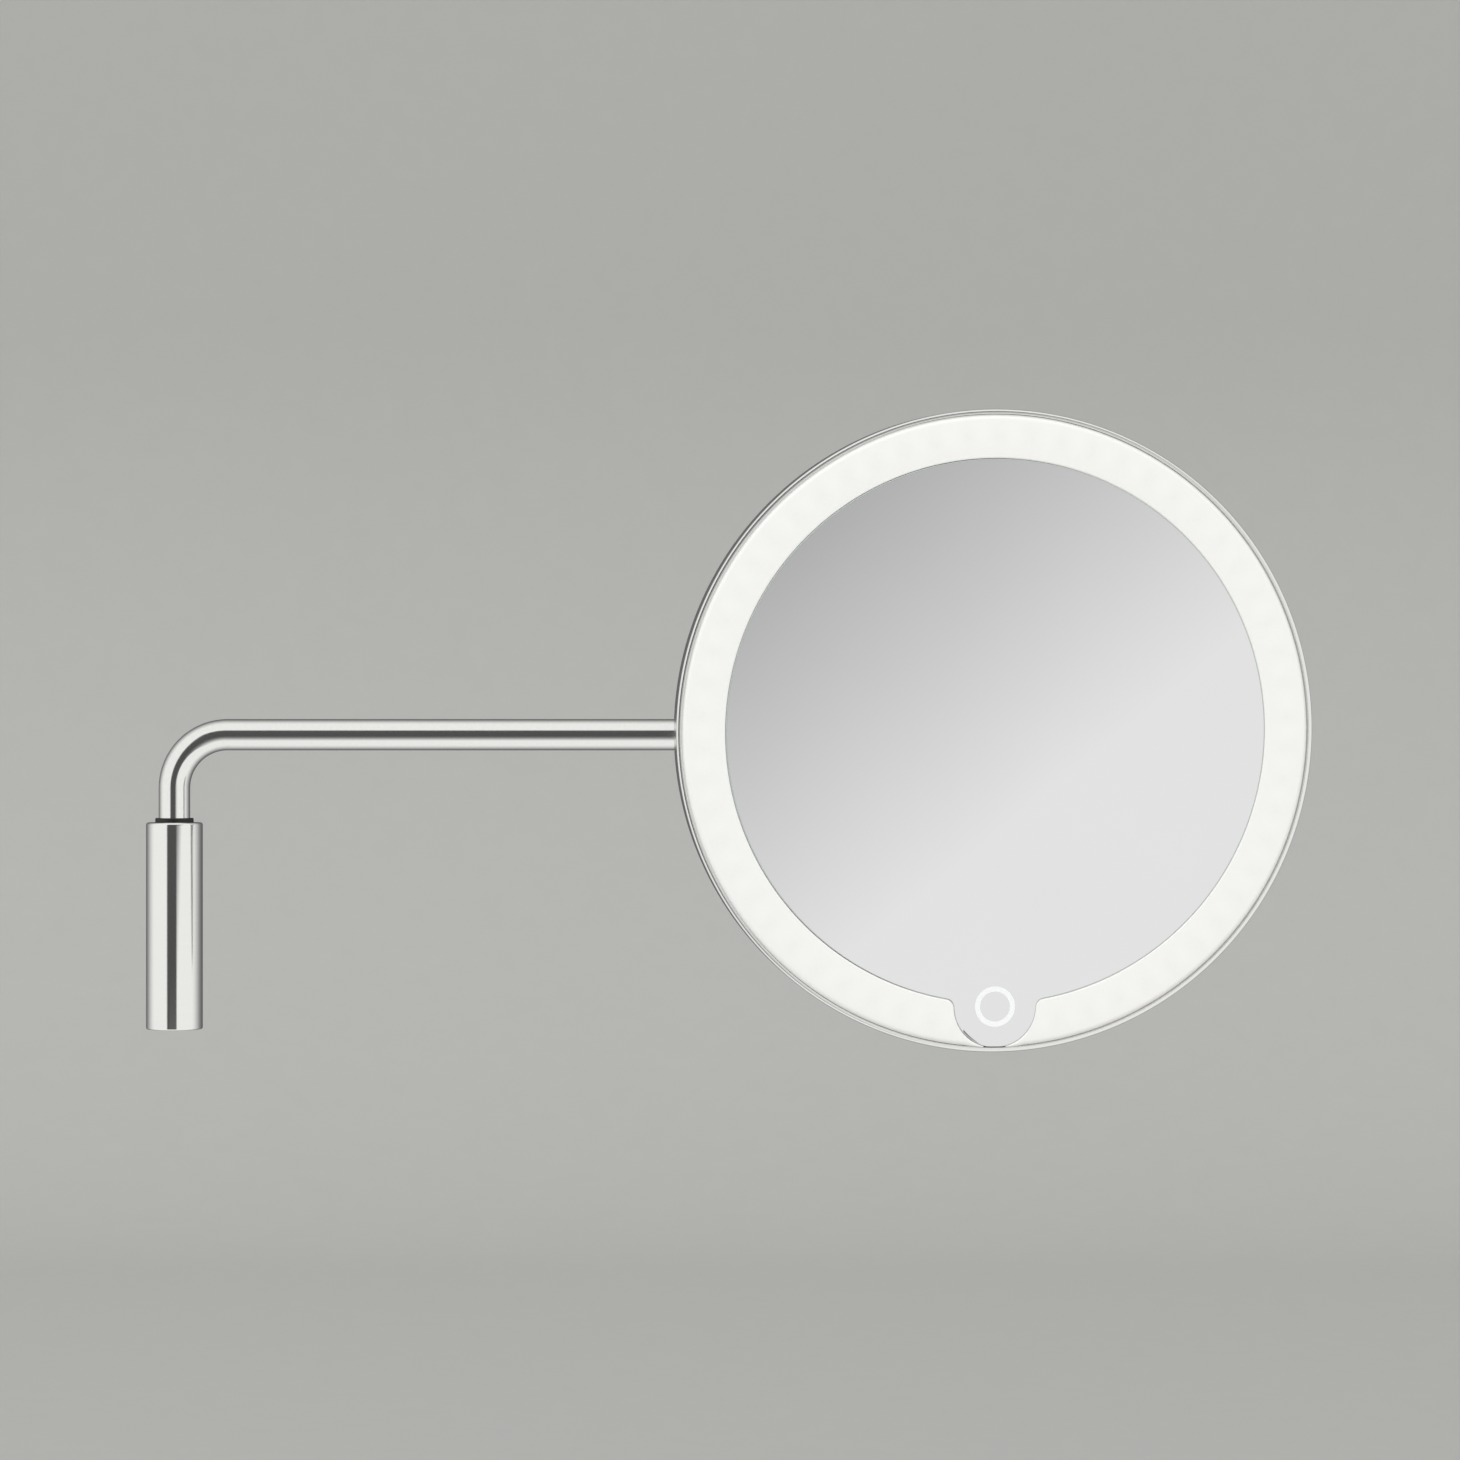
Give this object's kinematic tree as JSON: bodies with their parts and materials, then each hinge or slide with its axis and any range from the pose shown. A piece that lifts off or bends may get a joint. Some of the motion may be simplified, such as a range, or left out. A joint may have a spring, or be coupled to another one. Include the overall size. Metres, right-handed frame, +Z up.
{
  "type": "wall mirror on a swing arm",
  "caption": "Round shaving mirror with a lit rim, on a bent tube that swings in a barrel standing off the wall; the head tilts on a ball joint.",
  "frame": {"origin": "middle of the wall plate's wall-side face, in the plane of the wall", "axes": "+Z up, +Y into the wall, +X along the folded arm, so -Y faces the user"},
  "size_m": [0.3688, 0.0751, 0.2002],
  "materials": {
    "satin stainless steel": "satin, brushed round the tube",
    "pressed stainless pan": "brushed in circles round the head",
    "polished ball stud": "polished",
    "knurled steel ring": "turned, with a knurled band",
    "stainless fasteners": "bright",
    "turned brass": "turned",
    "cast aluminium": "as cast and machined",
    "black nylon": "moulded, fine grain",
    "natural acetal": "smooth",
    "silvered glass": "polished, silvered on the back",
    "etched glass": "etched",
    "frosted acrylic": "frosted, lit from behind",
    "white chassis plastic": "moulded",
    "black rubber": "matt",
    "grey silicone": "matt",
    "white foam tape": "matt",
    "foil pouch cell": "satin foil",
    "insulated wire": "smooth",
    "green board": "solder mask",
    "white board": "solder mask",
    "chip packages": "moulded",
    "led packages": "moulded"
  },
  "bodies": {
    "wall_mount": {"wall_plate": "cast aluminium", "wall_spacer": "satin stainless steel", "grub_screw": "stainless fasteners", "barrel": "satin stainless steel", "barrel_end_cap": "black nylon", "upper_bush": "black nylon", "lower_bush": "black nylon"},
    "arm": {"arm_tube": "satin stainless steel", "foot_insert": "turned brass", "thrust_washer": "black nylon", "retaining_screw": "stainless fasteners", "disc_spring": "stainless fasteners", "tip_plug": "satin stainless steel", "ball_stud": "polished ball stud"},
    "ball_seat": {"ball_liner": "natural acetal"},
    "ball_cup": {"pressure_cup": "natural acetal"},
    "head": {"ball_socket": "cast aluminium", "clamp_ring": "knurled steel ring", "socket_screws": "stainless fasteners", "housing": "pressed stainless pan", "housing_screws": "stainless fasteners", "cell_tape": "white foam tape", "battery_cell": "foil pouch cell", "battery_leads": "insulated wire", "control_board": "green board", "board_chips": "chip packages", "charge_port": "stainless fasteners", "board_screws": "stainless fasteners", "chassis": "white chassis plastic", "rim_seal": "black rubber", "led_board": "white board", "leds": "led packages", "touch_board": "green board", "key_light_guide": "frosted acrylic", "mounting_tape": "white foam tape", "touch_ring": "etched glass", "mirror_glass": "silvered glass", "diffuser_ring": "frosted acrylic"},
    "port_flap": {"port_cover": "grey silicone"}
  },
  "joints": [
    {"name": "arm_swing", "type": "hinge", "parent": "wall_mount", "child": "arm", "pos_m": [0, -0.025, 0], "axis": [0, 0, 1], "range_deg": [-160, 0]},
    {"name": "head_yaw", "type": "hinge", "parent": "arm", "child": "ball_seat", "pos_m": [0.258, -0.041, 0.063], "axis": [0, 0, 1], "range_deg": [-15, 16]},
    {"name": "head_nod", "type": "hinge", "parent": "ball_seat", "child": "ball_cup", "pos_m": [0.258, -0.041, 0.063], "axis": [0.9945, 0.1045, 0], "range_deg": [-20, 7]},
    {"name": "head_spin", "type": "hinge", "parent": "ball_cup", "child": "head", "pos_m": [0.258, -0.041, 0.063], "axis": [0.1044, -0.9936, -0.0436], "continuous": true},
    {"name": "port_flap_hinge", "type": "hinge", "parent": "head", "child": "port_flap", "pos_m": [0.2502, -0.04425, 0.00484], "axis": [0.0046, -0.0434, 0.999], "range_deg": [0, 100]}
  ]
}
